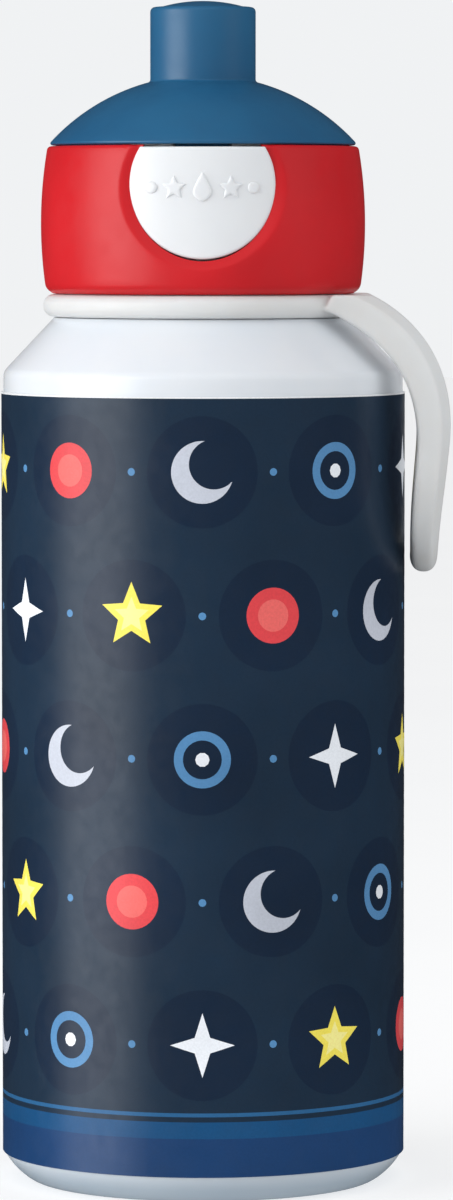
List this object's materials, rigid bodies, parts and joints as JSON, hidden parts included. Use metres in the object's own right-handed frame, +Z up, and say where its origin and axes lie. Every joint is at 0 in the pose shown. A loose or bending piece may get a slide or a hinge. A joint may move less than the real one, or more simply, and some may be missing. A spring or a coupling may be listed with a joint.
{
  "type": "kids water bottle",
  "caption": "Upright drinking bottle with a screw cap, spring flip lid with a round knob, front push button and a soft carry loop on the neck ring.",
  "frame": {"origin": "on the bottle's axis, on the plane that its foot ring stands on", "axes": "+Z up along the bottle's axis; the push button faces -Y; the carry loop hangs at +X; the lid's hinge is at +Y"},
  "size_m": [0.0709, 0.0636, 0.186],
  "materials": {
    "bottle_white": "glossy moulded polypropylene, slightly milky",
    "label_print": "printed film, satin gloss",
    "strap_white": "soft elastomer, satin",
    "cap_red": "fine spark-eroded satin",
    "inner_white": "moulded, smooth",
    "silicone": "translucent silicone",
    "lid_blue": "glossy moulded plastic",
    "button_white": "smooth satin",
    "steel": "drawn stainless wire"
  },
  "bodies": {
    "bottle": {"bottle_body": "bottle_white", "label_sleeve": "label_print"},
    "strap": {"strap_ring": "strap_white"},
    "loop": {"carry_loop": "strap_white"},
    "gasket": {"neck_gasket": "silicone"},
    "cap": {"cap_shell": "cap_red", "cap_core": "inner_white", "spout": "silicone", "spout_retainer": "inner_white", "vent_valve": "silicone", "hinge_pin": "steel", "lid_spring": "steel", "button_spring_left": "steel", "button_spring_right": "steel"},
    "lid": {"flip_lid": "lid_blue", "lid_liner": "inner_white", "spout_seal": "silicone"},
    "button": {"button": "button_white", "latch_frame": "inner_white"}
  },
  "joints": [
    {"name": "strap_swivel", "type": "hinge", "parent": "bottle", "child": "strap", "pos_m": [0, 0, 0.1382], "axis": [0, 0, 1], "continuous": true},
    {"name": "loop_swing", "type": "hinge", "parent": "strap", "child": "loop", "pos_m": [0.0248, 0, 0.1382], "axis": [0, -1, 0], "range_deg": [0, 95]},
    {"name": "cap_lift", "type": "slide", "parent": "bottle", "child": "gasket", "axis": [0, 0, 1], "range_m": [0, 0.0105]},
    {"name": "cap_turn", "type": "hinge", "parent": "gasket", "child": "cap", "pos_m": [0, 0, 0.1555], "axis": [0, 0, 1], "range_deg": [0, 420]},
    {"name": "lid_open", "type": "hinge", "parent": "cap", "child": "lid", "pos_m": [0, 0.0243, 0.1633], "axis": [-1, 0, 0], "range_deg": [0, 115], "deforming": ["lid_spring"]},
    {"name": "button_press", "type": "slide", "parent": "cap", "child": "button", "axis": [0, 1, 0], "range_m": [0, 0.0016], "stiffness_N_per_m": 400, "springref_m": -0.001, "deforming": ["button_spring_left", "button_spring_right"]}
  ],
  "couplings": [
    {"joint": "cap_turn", "follows": "cap_lift", "rad_per_m": 698.13}
  ]
}
